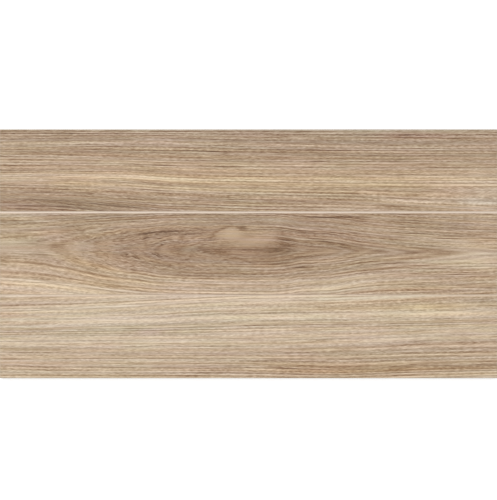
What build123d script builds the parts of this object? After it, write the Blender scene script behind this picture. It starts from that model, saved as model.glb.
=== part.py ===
"""Wood-look porcelain floor tile, 600 x 300 mm.

The tile is one dry-pressed and fired slab. Two false joints part its face into three planks that run
along X. Its four sides are ground square, with a fine arris above and below, and its back carries the
pressed relief of square pockets between ribs that the bedding mortar keys into.

Frame: millimetres, origin at the middle of the back, +Z up through the face, +X along the planks.
"""

import os
from math import atan, degrees, radians, sin

from build123d import *

# Overall size of the ground tile
tile_length = 600.0
tile_width = 300.0
tile_thickness = 9.0

# Ground edges: the 45 degree arris of the face and of the back
face_arris = 0.6
back_arris = 0.8

# False joints of the face: an ogee trough, with rounded shoulders and a rounded bed
plank_count = 3
joint_mouth = 3.4
joint_depth = 0.7
joint_shoulder_radius = 1.1

# Back relief: pockets in a grid, parted by ribs and framed by a plain rim
pocket_columns = 20
pocket_rows = 10
rim_width = 10.0
rib_width = 4.0
pocket_depth = 0.8
pocket_corner_clip = 3.0
pocket_draft = 30.0

# Length that a cutter runs on past the surface that it opens
overrun = 1.0

# Pitch of the planks, and of the pockets between the middles of their ribs
plank_pitch = tile_width / plank_count
pocket_field_length = tile_length - 2 * rim_width + rib_width
pocket_field_width = tile_width - 2 * rim_width + rib_width
pocket_pitch_x = pocket_field_length / pocket_columns
pocket_pitch_y = pocket_field_width / pocket_rows

# The trough's two kinds of arc meet at one slope, which its mouth and depth set between them
joint_slope = 2 * degrees(atan(joint_depth / (joint_mouth / 2)))
joint_arc_sum = joint_mouth / 2 / sin(radians(joint_slope))
joint_bed_radius = joint_arc_sum - joint_shoulder_radius

# One false joint: the ogee trough, drawn across the planks and run the length of the tile
with BuildPart() as joint_trough:
    with BuildSketch(Plane.YZ.offset(-tile_length / 2 - overrun)) as trough_section:
        with BuildLine():
            near_shoulder = JernArc((-joint_mouth / 2, 0), (1, 0), joint_shoulder_radius, -joint_slope)
            bed = JernArc(near_shoulder @ 1, near_shoulder % 1, joint_bed_radius, 2 * joint_slope)
            far_shoulder = JernArc(bed @ 1, bed % 1, joint_shoulder_radius, -joint_slope)
            Polyline(
                far_shoulder @ 1,
                (joint_mouth / 2, overrun),
                (-joint_mouth / 2, overrun),
                near_shoulder @ 0,
            )
        make_face()
    extrude(amount=tile_length + 2 * overrun)

# One pocket of the back: a square with clipped corners, drafted so that the pressed tile leaves its die
with BuildPart() as back_pocket:
    with BuildSketch() as pocket_mouth:
        Rectangle(pocket_pitch_x - rib_width, pocket_pitch_y - rib_width)
        chamfer(pocket_mouth.vertices(), length=pocket_corner_clip)
    extrude(amount=pocket_depth, taper=pocket_draft)

# The tile: a ground slab, with the joints cut in its face and the pockets in its back
with BuildPart() as tile:
    Box(tile_length, tile_width, tile_thickness, align=(Align.CENTER, Align.CENTER, Align.MIN))
    chamfer(tile.faces().sort_by(Axis.Z)[-1].edges(), length=face_arris)
    chamfer(tile.faces().sort_by(Axis.Z)[0].edges(), length=back_arris)
    with Locations((0, 0, tile_thickness)):
        with GridLocations(0, plank_pitch, 1, plank_count - 1):
            add(joint_trough.part, mode=Mode.SUBTRACT)
    with GridLocations(pocket_pitch_x, pocket_pitch_y, pocket_columns, pocket_rows):
        add(back_pocket.part, mode=Mode.SUBTRACT)

tile.part.label = "tile"

os.makedirs("parts", exist_ok=True)
export_step(tile.part, "parts/tile.step")
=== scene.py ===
"""Looks of the wood-look porcelain floor tile, laid out as an add-on.

The tile is one closed mesh: the printed face with its planks, false joints and grain relief, the ground
sides, and the pressed back. The print is drawn from grain lines, marks and spots that are placed on
each plank, in millimetres on the face, and its fibre is added by the glaze's own nodes.

Frame: origin at the middle of the back, +Z up through the face, +X along the planks.
"""

from functools import partial

import bpy
import numpy as np
from bpy.props import FloatProperty, FloatVectorProperty, IntProperty, PointerProperty
from bpy.types import NodeSocket, Operator, Panel, PropertyGroup
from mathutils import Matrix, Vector


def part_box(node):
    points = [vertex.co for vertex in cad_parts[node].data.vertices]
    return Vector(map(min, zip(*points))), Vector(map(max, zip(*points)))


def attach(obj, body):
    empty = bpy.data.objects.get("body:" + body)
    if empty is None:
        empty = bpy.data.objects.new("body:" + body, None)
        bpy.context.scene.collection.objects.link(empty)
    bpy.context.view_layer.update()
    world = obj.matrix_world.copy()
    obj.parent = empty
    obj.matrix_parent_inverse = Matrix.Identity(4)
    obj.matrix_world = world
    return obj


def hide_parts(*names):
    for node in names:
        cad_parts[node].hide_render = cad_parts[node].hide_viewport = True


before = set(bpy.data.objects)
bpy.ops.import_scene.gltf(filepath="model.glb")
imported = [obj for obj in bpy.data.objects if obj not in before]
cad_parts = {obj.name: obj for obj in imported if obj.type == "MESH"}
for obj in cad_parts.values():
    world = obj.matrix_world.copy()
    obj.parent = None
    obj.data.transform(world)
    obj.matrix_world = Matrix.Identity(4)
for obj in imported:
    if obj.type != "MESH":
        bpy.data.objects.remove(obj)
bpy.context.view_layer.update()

bl_info = {
    "name": "Wood-look floor tile",
    "version": (1, 0, 0),
    "blender": (4, 5, 0),
    "location": "3D View > Sidebar > Floor tile",
    "description": "Makes a printed porcelain floor tile and the stage that shows it",
    "category": "Add Mesh",
}

MM = 0.001
NODE = "tile"
BODY = "root"

# The tile's own box, in metres, as the frame gives it
TILE_LOW, TILE_HIGH = (Vector(corner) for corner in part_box(NODE))
TILE_SIZE = TILE_HIGH - TILE_LOW


def shown(red, green, blue):
    """A colour as a screen shows it, each part from 0 to 255, as the linear colour that a shader takes."""
    parts = np.array([red, green, blue]) / 255
    linear = np.where(parts <= 0.04045, parts / 12.92, ((parts + 0.055) / 1.055) ** 2.4)
    return tuple(float(part) for part in linear)


# The print, listed one by one. All places and lengths are in millimetres on the face.
#
# A grain line is a list of (x, y) places that the grain runs through, from the left end to the right.
# A mark runs along the grain: (x, y, length, width across the grain, tone), with the tone in steps of
# screen brightness that it adds at its middle. A spot lies across the grain: (x, y, length, height, rise
# of its long axis, tone). A tint is (x, y, length, width, honey, blush): honey is negative where the print
# is more mauve, and blush where it is more green. They go from a plank's far edge to its near one.
# Some dark marks and spots along the false joints are painted shade of the joints' shoulders, partly the
# print's edge too.

FAR_GRAIN = (
    ((-300, 146), (0, 145), (300, 144)),
    ((-300, 132), (-200, 134), (-100, 134), (0, 131), (100, 129), (300, 128)),
    ((-300, 119), (-200, 117), (-100, 114), (0, 113), (300, 112)),
    ((-300, 100), (-150, 101), (-100, 98), (-50, 96), (50, 95), (150, 94), (300, 94)),
    ((-300, 89), (-220, 91), (-150, 89), (-100, 85), (-50, 83), (50, 81), (200, 80), (300, 80)),
    ((-300, 80), (-200, 77.5), (-150, 75), (-100, 72), (0, 68.5), (130, 65), (200, 60), (300, 57)),
    ((-300, 72), (-200, 69), (-100, 63), (0, 61), (100, 60), (200, 57), (300, 51)),
    ((-300, 66), (-230, 65), (-200, 62), (-150, 57), (-100, 52), (0, 47), (300, 38)),
)

FAR_MARKS_AND_SHADE = (
    (0, 148, 640, 3, 5), (-215, 146, 100, 4, -7), (-250, 145.5, 110, 2, -12), (0, 145.5, 90, 6, -9),
    (-145, 145.3, 50, 2, -8), (30, 145, 90, 4, -5), (0, 143, 640, 14, -9), (205, 143, 60, 4, -12),
    (60, 141, 260, 6, 2), (-240, 140, 150, 9, -12), (-120, 139, 300, 8, -5), (120, 137, 90, 3, -6),
    (240, 137, 150, 4, -7), (-150, 134, 280, 5, 14), (262, 134, 90, 4, -7), (20, 133, 70, 3, -6),
    (85, 132, 110, 2, -12), (-40, 131.5, 100, 2.5, -12), (190, 131.5, 90, 2, -8),
    (-250, 130, 110, 6, -6), (120, 129, 420, 3, 8), (60, 127.5, 70, 2, -10), (250, 126.5, 110, 2, -10),
    (-150, 126, 90, 4, -7), (-20, 126, 90, 4, 8), (75, 124.5, 70, 4, 9), (150, 123.5, 90, 5, 6),
    (-40, 123, 70, 3, -6), (-190, 122, 160, 8, -9), (0, 122, 640, 12, -8), (110, 120, 120, 4, -11),
    (205, 120, 70, 5, -6), (-125, 119.5, 90, 4, -7), (-75, 118, 60, 2, -10), (150, 116, 130, 6, -5),
    (-285, 115, 80, 5, -9), (5, 115, 80, 8, -6), (-170, 114, 240, 3, 7), (-110, 113, 150, 4, -6),
    (180, 112.5, 80, 2, -8), (100, 111, 260, 6, -4), (-205, 110, 60, 3, 6), (-215, 109, 64, 4, -8),
    (90, 107, 220, 4, 8), (-285, 106, 50, 4, -11), (8, 104, 80, 6, -8), (-65, 103.5, 50, 2, -8),
    (70, 103.5, 60, 2, -10), (210, 102, 56, 4, 8), (-230, 100, 160, 3, -10), (90, 100, 300, 7, 6),
    (-205, 98, 120, 4, -8), (-50, 97, 170, 3, -8), (287, 97, 54, 6, 12), (105, 95, 180, 3, -15),
    (-185, 94, 270, 9, 21), (230, 94, 150, 3, -6), (-50, 92, 70, 4, 8), (-60, 91, 110, 5, -6),
    (-205, 90, 110, 3, -8), (-85, 90, 50, 4, -7), (180, 89, 110, 6, 6), (70, 88, 480, 12, 14),
    (0, 86, 80, 4, 8), (285, 86, 130, 14, 11), (-95, 84.5, 80, 3, -16), (-200, 84, 210, 9, 11),
    (-290, 83, 60, 5, -5), (110, 83, 100, 5, 5), (-80, 82, 90, 5, -12), (10, 82, 170, 3, -6),
    (-275, 80.5, 90, 3, -17), (200, 79.5, 220, 2.5, -10), (-280, 79, 70, 4, -9), (-195, 77, 90, 4, -11),
    (-110, 75, 50, 4, 7), (-30, 75, 150, 8, 10), (-250, 74, 130, 6, -8), (95, 73, 90, 4, 7),
    (-80, 72, 140, 4, -11), (230, 72, 90, 6, -5), (197, 71, 34, 5, 8), (232, 71, 50, 4, -7),
    (-30, 70, 100, 4, 6), (265, 68, 170, 14, 12), (-175, 67, 70, 6, -12), (-285, 65.5, 54, 3, 8),
    (120, 65.5, 56, 4, -8), (115, 65, 80, 6, -12), (5, 64.5, 44, 4, -7), (-225, 64, 80, 8, -11),
    (0, 63, 320, 14, -6), (60, 61.5, 120, 3, -6), (130, 61.5, 60, 5, 6), (-230, 61, 260, 24, -15),
    (190, 61, 120, 4, 10), (285, 61, 50, 8, 13), (-180, 60, 90, 6, -10), (66, 58, 50, 4, 8),
    (172, 58, 90, 4, -12), (-140, 55, 90, 6, -9), (127, 55, 50, 6, 14), (285, 55, 60, 6, 14),
    # The last mark below, along the false joint, is partly the print's edge and partly painted shade of the
    # joint's shoulder
    (245, 54.5, 130, 5, 11), (-245, 54, 70, 6, -8), (0, 51.5, 640, 3, -13),
)

FAR_TINTS = (
    (0, 148.8, 640, 3.5, -10, -2), (205, 142, 70, 5, 0, 2), (0, 137, 640, 16, -4, 0),
    (-140, 133, 110, 5, -2, 1.2), (-290, 122, 50, 16, 0, -1.2), (20, 88, 460, 24, 6, 0),
    (-210, 86, 60, 16, 4, 0), (30, 84, 270, 16, 0, -1.3), (285, 64, 60, 10, -5, 0),
    (-280, 60, 60, 12, 0, 1.5), (-220, 60, 260, 14, -4, 0), (60, 60, 160, 8, 0, -0.8),
)

# Painted shade along the far plank's lower edge, beside the false joint's shoulder, darker towards both
# ends
FAR_PAINTED_SHADE = (
    (-255, 52.6, 220, 2.8, 0, -13), (255, 52.6, 220, 2.8, 0, -9),
)

MIDDLE_MARKS_AND_SHADE = (
    # The first mark, along the plank's far edge by the false joint, is partly the print's edge and partly
    # painted shade of the joint's shoulder
    (0, 47, 640, 10, -13), (-285, 46, 80, 7, 26), (-170, 45, 130, 4, -4), (115, 44, 70, 6, -8),
    (-25, 43, 90, 6, -9), (205, 43, 60, 6, -10), (-135, 42.2, 80, 1.6, -31), (137, 42, 40, 4, -8),
    (-292, 40, 30, 5, -12), (-290, 40, 40, 5, -8), (-70, 39.5, 130, 5, -8), (30, 37, 60, 5, -8),
    (-210, 36, 60, 14, -8), (-40, 33, 340, 9, -10), (112, 33, 70, 7, -8), (-190, 27, 40, 4, 6),
    (-108, 26.3, 56, 1.9, -60), (72, 25, 80, 6, -9), (-75, 24, 130, 12, -12), (-78, 23.8, 60, 1.8, -20),
    (-285, 23.5, 40, 2.5, -9), (240, 23, 90, 7, -9), (-135, 22, 190, 9, -9), (95, 22, 90, 6, -10),
    (-270, 20, 90, 14, 6), (210, 18, 50, 4, 10), (208, 16.4, 40, 1.5, 14), (110, 11, 60, 8, -9),
    (217, 9.3, 24, 1.6, -13), (-40, 8, 240, 26, -17), (-20, 8, 420, 60, -5), (60, 8, 130, 26, -5),
    (-250, 1, 40, 3, 6), (-130, -2, 120, 22, -10), (80, -2, 50, 6, -12), (-286, -6, 50, 8, -13),
    (-130, -6, 120, 12, -8), (-252, -8, 24, 2, -11), (-20, -8, 110, 8, -9), (35, -8, 70, 10, -8),
    (38, -8, 44, 7, -12), (-210, -8.3, 100, 1.7, 8), (-202, -9, 50, 5, -10), (165, -10, 70, 4, -9),
    (232, -10, 130, 12, 9), (-275, -10.5, 70, 2, -7), (174, -10.6, 28, 1.6, -20), (-20, -11, 160, 7, 3),
    (-235, -12, 130, 8, -5), (-180, -12, 160, 7, 10), (170, -12.7, 70, 1.6, 9),
    (290, -13.6, 24, 1.8, 9), (120, -15, 110, 4, -6), (172, -15.6, 90, 1.5, -13), (-70, -16, 80, 4, -6),
    (-160, -17, 60, 7, -10), (-155, -19.5, 80, 1.7, 7), (-270, -20, 120, 12, 12),
    (-205, -21, 150, 1.8, -11), (-20, -22, 180, 10, -14), (-178, -25.6, 40, 1.8, -13),
    (-245, -26, 60, 6, -8), (-120, -26, 80, 6, 6), (250, -26, 70, 6, -4), (-95, -27, 90, 6, -12),
    (-185, -29, 100, 5, 6), (125, -29.5, 90, 2, 9), (110, -30, 110, 4, 10), (-135, -33.2, 40, 1.6, 9),
    (-215, -33.3, 110, 1.8, -13), (-250, -34.5, 120, 4, 9), (-10, -34.5, 200, 4, 14),
    (-112, -35, 50, 2, -11), (150, -36, 200, 8, 7), (0, -37, 640, 8, 7), (122, -38, 80, 7, 7),
    (-190, -39, 90, 3.5, 8), (0, -39.5, 190, 3, -6), (-155, -40, 70, 1.8, -20), (-110, -41, 100, 4, 6),
    (88, -41, 70, 2, 11), (-240, -42, 160, 12, 28), (-105, -44.5, 60, 1.8, -11), (0, -46, 300, 8, 14),
    (-150, -47, 120, 6, 7),
)

MIDDLE_TINTS = (
    (-200, 46, 180, 6, -4, 0), (20, 40, 170, 12, -4, 0), (250, 33, 36, 8, -4, 1.0),
    (-10, 28, 60, 12, 2, -0.8), (-275, 20, 50, 50, 0, -1.8), (90, 20, 140, 44, 0, 1.0),
    (-5, 18, 70, 20, 4, 0), (290, 14, 50, 18, 4, 0), (-270, 8, 40, 22, 4, 0), (-80, 8, 260, 50, 0, 1.4),
    (-72, 6, 20, 10, 0, -2.5), (75, 6, 30, 8, -3, 1.2), (35, 4, 50, 10, -3, 0),
    (-120, 0, 60, 12, -2, 0.6), (250, -12, 70, 10, 0, -1.2), (20, -13, 26, 5, 5, 0.8),
    (-190, -14, 60, 20, 4, 0), (-250, -30, 140, 20, 3, 0), (290, -30, 50, 20, 3, 0),
    (-150, -36, 90, 12, 5, 0), (200, -42, 90, 10, 4, 0),
)

# The middle plank's closed figure. EYE_LINE is its middle line. EYE_REACH says, at places along that line,
# which ring crosses it there, so a ring closes where the line reaches its own number. Above the line the
# rings lie closer together, by EYE_RISE.
EYE_LINE = ((-300, 8), (-240, 8), (-150, 6), (0, 5), (150, 3), (245, 1), (300, 1))
EYE_REACH = (
    (-300, 41), (-255, 39), (-240, 37.5), (-220, 35), (-200, 32), (-180, 28), (-165, 25.5),
    (-146, 22.5), (-130, 20), (-106, 13), (-60, 7), (-30, 2), (0, 0), (30, 2), (62, 9), (100, 12),
    (134, 19), (165, 22.5), (245, 28.5), (300, 32),
)
EYE_RISE = 1.3
# Near its middle line, to this distance, the fibre runs on along the plank and doesn't close
EYE_CORE = 6.0
# How the rings close: 2 is round, and 1 is a straight-sided point. The first is for the left half and the
# second for the right one, and between them they change over to this distance from the tile's middle.
EYE_ROUNDNESS = (2.0, 1.3)
EYE_TURN = 60.0

# The line's reach is eased over this distance
EYE_EASE = 5.0

# The fibre spreads round the figure's ends no further than this: above and below its left half, and right
FIBRE_SPREAD = (29.0, 41.0, 24.0)

# Middle and half size of the figure's inside, where the fibre is short and wavy
CURL_MIDDLE = (-125.0, 8.0)
CURL_HALF = (115.0, 30.0)

# Marks that run round the figure's rings
EYE_MARKS = (
    (-236, 9, 40, 1.2, -6), (-205, 8, 50, 2, 6), (-183, 8, 44, 1.0, 6), (-173, 7, 50, 1.0, -13),
    (-163, 7, 44, 0.9, 9), (-151, 7, 50, 1.1, -12), (-139, 6, 44, 1.0, 6), (-128, 6, 44, 1.0, -10),
    (-110, 5, 40, 1.4, -8), (225, 2, 70, 5, -12), (118, 8, 70, 4, -4), (150, 4, 60, 4, -5),
)

# Spots of the middle plank: of the knot, of the figure round it, of the plain wood beyond, and painted
# shade
MIDDLE_SPOTS_AND_SHADE = (
    # The first spot, along the plank's far edge by the false joint, is painted shade of the joint's
    # shoulder, partly the print's edge too
    (0, 48, 1200, 3.4, 0, -12), (95, 46.6, 46, 2.4, 0, 14), (-125, 46.5, 44, 5, 0, 10),
    (160, 46.5, 76, 5, 0, -17), (-168, 46, 36, 6, 0, -11), (292, 45, 34, 10, 0, 12),
    (102, 44.1, 62, 2.4, 0, -62), (137, 42.8, 26, 7, 0, -16), (192, 42, 50, 8, -0.05, -15),
    (-190, 38, 36, 7, 0, -8), (15, 37.8, 28, 1.8, 0, -14), (225, 37, 80, 6, 0, -8),
    (30, 36, 28, 14, 0, 11), (155, 33, 56, 6, 0, 7), (-7.5, 30.6, 11, 6, -0.15, -42),
    (-32, 29.8, 26, 3.2, 0.42, -30), (-207, 28, 18, 20, 0, -8), (112, 26.2, 18, 1.8, -0.03, 18),
    (122, 24.9, 50, 2, 0, -20), (5, 24.8, 10, 1.6, 0, -16), (-23, 23.5, 30, 16, -0.08, 24),
    (-43, 21.5, 9, 4, 1.0, -20), (-275, 20, 60, 11, 0, -7), (78, 20, 64, 9, -0.15, -14),
    (-266, 18, 40, 6, 0, -9), (-150, 18, 60, 13, 0, -9), (42, 18, 20, 18, -0.2, -18),
    (105, 17.4, 16, 1.8, 0, 16), (86, 16.5, 46, 3, -0.24, -18), (9, 15, 50, 13.5, 0.12, 22),
    (-184, 14, 26, 9, -0.3, -12), (-122, 13, 36, 8, -0.3, -9), (238, 13, 54, 7, 0, 8),
    (276, 11, 80, 14, 0, 13), (47, 10, 22, 4, 0.15, -11), (-240, 9.5, 28, 5, 0, -17),
    (118, 8.5, 18, 5, -0.2, -13), (-272, 7, 40, 20, 0, 12), (-200, 7, 18, 7, 0, 8),
    (-165, 7, 15, 13, 0, 8), (158, 7, 110, 15, 0, -9), (-86, 6, 20, 16, 0, -8),
    (0, 5, 80, 4.5, -0.03, -15), (220, 4, 50, 9, -0.08, -7), (37, 3.5, 40, 12, 0.15, -22),
    (-38, 2.5, 40, 8, -0.12, -25), (193, 2.5, 30, 5, 0, 8), (-295, 2, 40, 6, 0, -7),
    (292, 2, 44, 7, 0, 14), (-82, -4, 22, 9, -0.2, -9), (272, -5, 100, 15, 0, 17),
    (-195, -6, 34, 6, -0.2, -9), (-25, -6.8, 24, 2.4, 0.3, -20), (-92, -8, 22, 8, 0, 5),
    (98, -8, 60, 9, 0.15, 10), (115, -8, 32, 2.0, 0.28, -18), (148, -8, 44, 2.0, 0.2, -14),
    (-3, -8.6, 30, 2.4, -0.28, -20), (-218, -14, 42, 5, -0.15, -9), (270, -15, 80, 8, 0, 10),
    (292, -16, 44, 7, 0, 12), (66, -16.7, 17, 1.5, 0, -58), (185, -17, 90, 4, 0.02, 7),
    (-85, -18, 56, 11, -0.1, 8), (-275, -19, 60, 7, -0.1, 7), (98, -20.5, 56, 5, 0.1, -11),
    (245, -22.6, 110, 2, 0, -20), (262, -23, 50, 6, 0, 6), (-5, -26, 130, 8, 0, -8),
    (-285, -27, 54, 4, 0, -8), (-247, -33, 40, 6, 0, 9), (-270, -37.5, 60, 5, -0.05, -9),
    (150, -43, 130, 9, 0, 7), (66, -47, 44, 4, 0, 8), (-122, -47.5, 56, 4, 0, 9),
    (0, -48.2, 1200, 3.4, 0, 4),
)

# Spots where the fibre fades, on the knot's pale face and round it, with the share of it that goes
KNOT_CALM = (
    (-21, 22.5, 40, 17, -0.1, 0.7), (9, 15, 52, 17, 0.05, 0.55), (2, -3, 130, 24, 0, 0.45),
    (102, 3, 44, 9, 0, 0.5), (-80, -2, 70, 34, 0, 0.3),
)

NEAR_GRAIN = (
    ((-300, -54), (-200, -52), (-100, -47), (0, -43), (300, -40)),
    ((-300, -62.5), (-200, -60), (-150, -57), (-100, -55), (-50, -52.5), (0, -50), (300, -44)),
    ((-300, -73), (-250, -71), (-150, -68.5), (-100, -64), (0, -60.5),
     (100, -60), (150, -58), (250, -52.5), (300, -51)),
    ((-300, -79), (-150, -77.5), (-100, -76), (-50, -73),
     (50, -71), (150, -70.5), (220, -69), (300, -67)),
    ((-300, -88), (-250, -88), (-200, -86.5), (-100, -85),
     (-50, -82.5), (0, -80.5), (200, -79), (300, -77)),
    ((-300, -96), (-200, -94), (-100, -93), (0, -91), (200, -87.5), (300, -85)),
    ((-300, -101), (-150, -99.5), (-50, -98.5), (50, -97), (150, -95), (200, -92), (300, -90)),
    ((-300, -106), (0, -105), (50, -104.5), (100, -103), (150, -101.5), (250, -98), (300, -97)),
    ((-300, -113), (-200, -115), (-100, -113.5), (50, -114),
     (100, -112.5), (150, -111), (220, -106.5), (300, -105.5)),
    ((-300, -118), (-200, -119.5), (0, -119.5), (100, -119.5), (150, -118), (200, -115.5), (300, -114)),
    ((-300, -128), (-200, -126), (0, -126), (100, -127), (200, -125), (300, -122)),
    ((-300, -133), (-250, -135), (0, -136), (100, -139), (150, -138), (200, -135), (300, -134)),
    ((-300, -145), (0, -146), (100, -148), (300, -142)),
)

NEAR_MARKS = (
    (-180, -51.5, 240, 4, 6), (150, -52, 200, 5, 8), (-30, -53, 80, 2.5, -8), (190, -53, 180, 5, 7),
    (-40, -54, 340, 5, 12), (270, -54, 90, 3, -4), (-280, -54.5, 60, 4, -10), (-270, -54.5, 90, 3, -9),
    (-160, -55, 64, 4, 8), (20, -56.5, 100, 4, 7), (220, -56.5, 170, 4, -14), (-130, -57, 120, 3, -12),
    (-280, -58, 60, 4, 6), (230, -59, 64, 4, 8), (-220, -60.5, 80, 3, -9), (-290, -62.5, 60, 3, -16),
    (140, -63, 220, 8, -6), (178, -63, 40, 4, 8), (-108, -64, 50, 5, 8), (262, -64, 56, 5, -8),
    (105, -64.5, 40, 3, -7), (-245, -65, 40, 4, 7), (240, -65, 140, 4, -4), (-175, -66, 74, 4, 6),
    (-150, -66, 300, 8, 8), (-285, -68, 50, 5, -5), (270, -68.5, 120, 3, 10), (-160, -70, 60, 2.5, -7),
    (90, -70.5, 160, 2.5, -12), (30, -71.5, 60, 2, -8), (-285, -72, 54, 4, -8), (270, -73, 90, 4, 9),
    (-290, -74, 50, 4, -10), (100, -74, 320, 6, 10), (-90, -76, 120, 2.5, -12), (180, -76, 110, 6, 7),
    (-170, -78, 120, 5, 7), (-70, -78, 200, 5, 12), (-20, -78, 90, 5, -5), (80, -80.5, 120, 2.5, -8),
    (-180, -82, 160, 6, 13), (-40, -82.5, 90, 2, -7), (270, -83, 100, 6, -8), (100, -85, 330, 7, -10),
    (20, -85.5, 56, 1.6, -12), (-110, -86, 110, 2, -8), (-220, -87, 180, 2.5, -7),
    (-285, -88, 54, 4, -7), (-225, -90, 80, 5, -6), (132, -90, 90, 6, -7), (290, -90, 44, 5, -8),
    (60, -91, 300, 4, -3), (-270, -93, 130, 7, -12), (-180, -93, 80, 6, -7), (205, -93.5, 60, 2, -7),
    (260, -93.5, 100, 3.5, 7), (45, -95, 130, 6, 8), (-200, -96, 200, 7, -5), (30, -98, 120, 2.5, -7),
    (-110, -99, 120, 2.5, -8), (40, -100, 180, 2.5, 10), (0, -101, 50, 3, 7), (230, -101, 130, 4, 6),
    (260, -101, 40, 4, 6), (-140, -103, 90, 4, 9), (180, -104.5, 60, 3, 6), (60, -105, 140, 2.5, -7),
    (-190, -106, 230, 7, 6), (88, -106, 44, 3, 8), (130, -106, 140, 3.5, 7), (250, -106, 130, 4, -13),
    (-250, -108, 120, 5, 10), (-80, -108, 120, 7, 8), (200, -112, 44, 4, -7), (250, -113, 120, 3, -7),
    (80, -113.5, 120, 4, -10), (148, -113.5, 54, 5, -12), (-160, -117, 120, 3, 6),
    (225, -117, 160, 2.5, -4), (250, -119, 110, 6, -6), (-195, -119.5, 80, 2.5, -10),
    (60, -119.5, 240, 3, -7), (-280, -120, 60, 6, -7), (200, -120, 120, 3, 6),
    (-275, -120.5, 80, 5, -8), (0, -122, 640, 22, -10), (292, -126, 44, 5, -8), (-200, -127, 200, 7, 5),
    (180, -127, 260, 8, -6), (205, -128, 50, 2, -8), (-220, -133, 110, 2.5, 7), (-140, -133, 54, 4, 7),
    (-270, -135.5, 70, 3, -9), (0, -137, 640, 12, -8), (80, -137, 60, 5, -6), (220, -137, 200, 8, -23),
    (285, -137, 50, 7, -8), (178, -138, 46, 5, 12), (80, -139, 150, 6, -12), (190, -141, 220, 8, -8),
    (82, -142, 90, 7, -14), (-30, -143, 140, 6, -5), (200, -144, 150, 3, 4), (235, -145, 70, 4, -7),
    (-160, -146, 54, 4, 8), (-68, -146, 90, 5, -18), (60, -146, 240, 5, -10),
    (0, -147.8, 640, 2.4, -12),
)

NEAR_TINTS = (
    (150, -62, 170, 10, 4, 0), (230, -66, 60, 12, 4, 0), (0, -72, 640, 34, 0, -1.2),
    (-290, -74, 40, 6, 4, 1.2), (-170, -88, 300, 50, -2.5, 0), (-120, -94, 26, 6, -4, 2.5),
    (-180, -98, 260, 24, 0, -1.4), (180, -104, 90, 10, -2, 0), (240, -138, 130, 12, 4, 0),
    (250, -138, 130, 8, 0, 1.0), (110, -140, 180, 14, 6, 0), (105, -141, 60, 6, 2, 1.4),
)

# Each plank from the far side of the tile to the near one: grain, marks, tints, spots, ground tone and
# curl. The middle plank's grain follows its closed figure, and its curl says how far its fibre breaks up
# into short waves there.
PLANKS = (
    (FAR_GRAIN, FAR_MARKS_AND_SHADE, FAR_TINTS, FAR_PAINTED_SHADE, -5, 0.0),
    (None, MIDDLE_MARKS_AND_SHADE, MIDDLE_TINTS, MIDDLE_SPOTS_AND_SHADE, -2, 1.0),
    (NEAR_GRAIN, NEAR_MARKS, NEAR_TINTS, (), 18, 0.0),
)

# Over this distance to each side, in this many places, the corners of a grain line are eased
GRAIN_EASE = 15.0
EASE_PLACES = 7
# The outermost grain lines of a plank are repeated this far outside it
GRAIN_MARGIN = 100.0

# How fast a mark fades across the grain and towards its ends, and how sharply a spot ends
MARK_EDGE = 2.8
MARK_END = 0.7
SPOT_EDGE = 1.5

# Streaks that are drawn at random over the print: (strength, length, pitch across the grain, seed).
# Those of the rings and the grain deepen the relief too. The sways bend the curly fibre along and across.
RING_STREAKS = (0.8, 160, 1.8, 3)
GRAIN_STREAKS = (0.6, 40, 1.5, 4)
HONEY_STREAKS = (4.5, 70, 4.0, 6)
CURLY_HONEY_STREAKS = (4.0, 30, 7.0, 8)
BLUSH_STREAKS = (1.6, 45, 5.5, 9)
SWAY_ALONG = (5.0, 24, 8, 21)
SWAY_ACROSS = (3.0, 20, 9, 22)
# Rows and cells of their table, and the weakest of the streaks that are dark and pale by turns
STREAK_ROWS = 800
STREAK_CELLS = 64
WEAKEST_STREAK = 0.45
# Tone that a full streak adds where the ground tone is nought, how far that drops as the wood gets paler,
# and the share of it that is lost where the fibre is curly
STREAK_TONE = 18.0
STREAK_TONE_DROP = 0.2
CURLY_STREAK_LOSS = 0.4

# Points of the face along the tile, the spacing of its rows on the planks and in the false joints, and how
# far the close rows run on past a joint
FACE_COLUMNS = 164
ROW_SPACING = (0.66, 0.27)
JOINT_MARGIN = 0.2

# Share of the grain relief's depth on plain wood, and what a full dark streak and one darker tone add
RELIEF_GROUND = 0.25
RELIEF_STREAK = 0.55
RELIEF_TONE = 0.015
# The relief starts this far from a joint's middle line, and is full this much further on. From the tile's
# edge it is full at RELIEF_EDGE.
RELIEF_START = 1.6
RELIEF_RISE = 1.5
RELIEF_EDGE = 2.0

# How far the pale glaze covers the print in the far false joint and in the near one. It ends this far from
# a joint's middle line, and is full this much further in.
JOINT_PALENESS = (1.0, 0.42)
JOINT_GLAZE_END = 1.55
JOINT_GLAZE_RISE = 0.75

# Least height that an arris keeps where the face lies deeper
LEAST_ARRIS = 0.02
TINY = 1e-6

# How far a pocket's lip starts outside its mouth, where its wall starts, how deep the wall's rings lie, and
# how far in the floor's edge lies
LIP_START = 0.25
WALL_START = (0.02, 0.1)
WALL_RINGS = (0.3, 0.62)
FLOOR_EASE = 0.15

# Edges that turn by more than this, in degrees, stay sharp
SHARP_ANGLE = 32

# Map for baking: its margin at both ends, the start and height of the face and of the back, and for the
# sides the start, the pitch of the four strips and the height of each
MAP_MARGIN = 0.003
FACE_BAND = (0.32, 0.677)
BACK_BAND = (0.055, 0.258)
SIDE_BANDS = (0.004, 0.0125, 0.009)

# A tone of nought lies at this share of the ramp of wood colours, and one step of tone is this much of it
TONE_ZERO = 0.6
TONE_STEP = 0.008

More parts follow.
